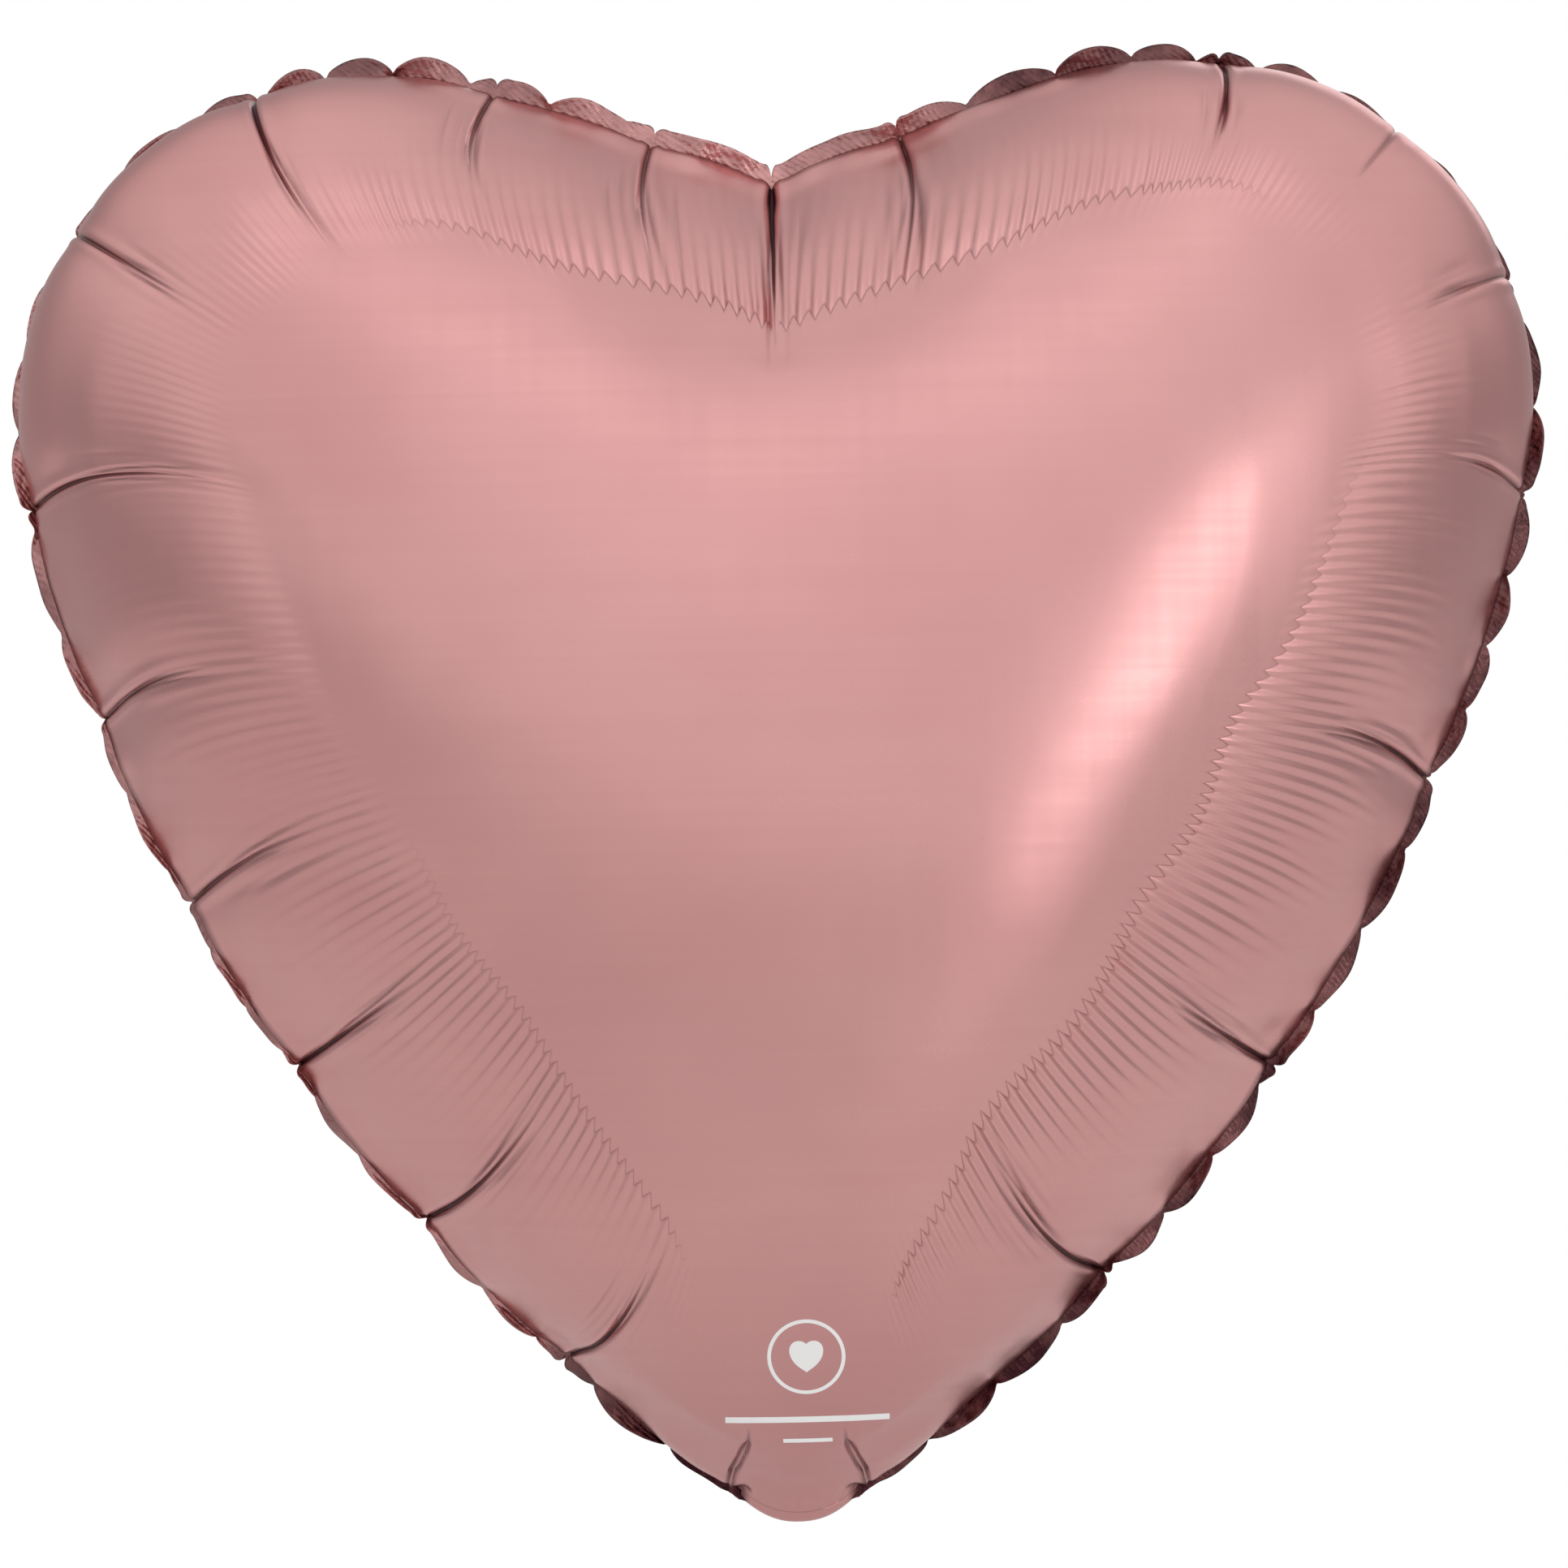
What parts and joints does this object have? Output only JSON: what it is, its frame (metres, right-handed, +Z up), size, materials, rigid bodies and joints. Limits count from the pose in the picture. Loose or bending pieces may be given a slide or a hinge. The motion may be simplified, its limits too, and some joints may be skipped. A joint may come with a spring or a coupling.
{
  "type": "heart-shaped foil balloon",
  "caption": "Filled heart-shaped foil balloon with a welded rim, an inner self-closing valve and a flat tail that folds up behind it.",
  "frame": {"origin": "middle of the neck fold at the bottom of the heart, on the seam plane, where a ribbon is tied", "axes": "+Z up through the cleft, -Y out of the front of the heart, +X to the right as seen from the front"},
  "size_m": [0.379, 0.1916, 0.3613],
  "materials": {
    "front_foil": "satin rose-pink metallised film",
    "back_foil": "satin rose-pink metallised film",
    "weld_foil": "crumpled, heat-welded metallised film",
    "valve_film": "clear polyethylene film"
  },
  "bodies": {
    "envelope": {"front_panel": "front_foil", "back_panel": "back_foil", "rim_weld": "weld_foil", "neck_front": "front_foil", "neck_back": "back_foil", "neck_fold": "weld_foil", "valve_neck_front": "valve_film", "valve_neck_back": "valve_film"},
    "valve_front": {"valve_film_front": "valve_film"},
    "valve_back": {"valve_film_back": "valve_film"},
    "tail_root": {"tail_root_front": "front_foil", "tail_root_back": "back_foil", "tail_root_valve_front": "valve_film", "tail_root_valve_back": "valve_film", "tail_root_welds": "weld_foil", "tail_crease": "weld_foil"},
    "tail_end": {"tail_end_front": "front_foil", "tail_end_back": "back_foil", "tail_end_welds": "weld_foil"}
  },
  "joints": [
    {"name": "tail_fold", "type": "hinge", "parent": "envelope", "child": "tail_root", "pos_m": [0, 0, 0], "axis": [-1, 0, 0], "range_deg": [0, 102]},
    {"name": "tail_bend", "type": "hinge", "parent": "tail_root", "child": "tail_end", "pos_m": [0, 0.0313, 0.00665], "axis": [-1, 0, 0], "range_deg": [0, 35]},
    {"name": "valve_front_open", "type": "hinge", "parent": "envelope", "child": "valve_front", "pos_m": [0, -0.00035, 0.0103], "axis": [1, 0, 0], "range_deg": [0, 5], "stiffness_Nm_per_rad": 0.0005},
    {"name": "valve_back_open", "type": "hinge", "parent": "envelope", "child": "valve_back", "pos_m": [0, 0.00035, 0.0103], "axis": [1, 0, 0], "range_deg": [-5, 0], "stiffness_Nm_per_rad": 0.0005}
  ],
  "couplings": [
    {"joint": "valve_back_open", "follows": "valve_front_open", "ratio": -1}
  ]
}
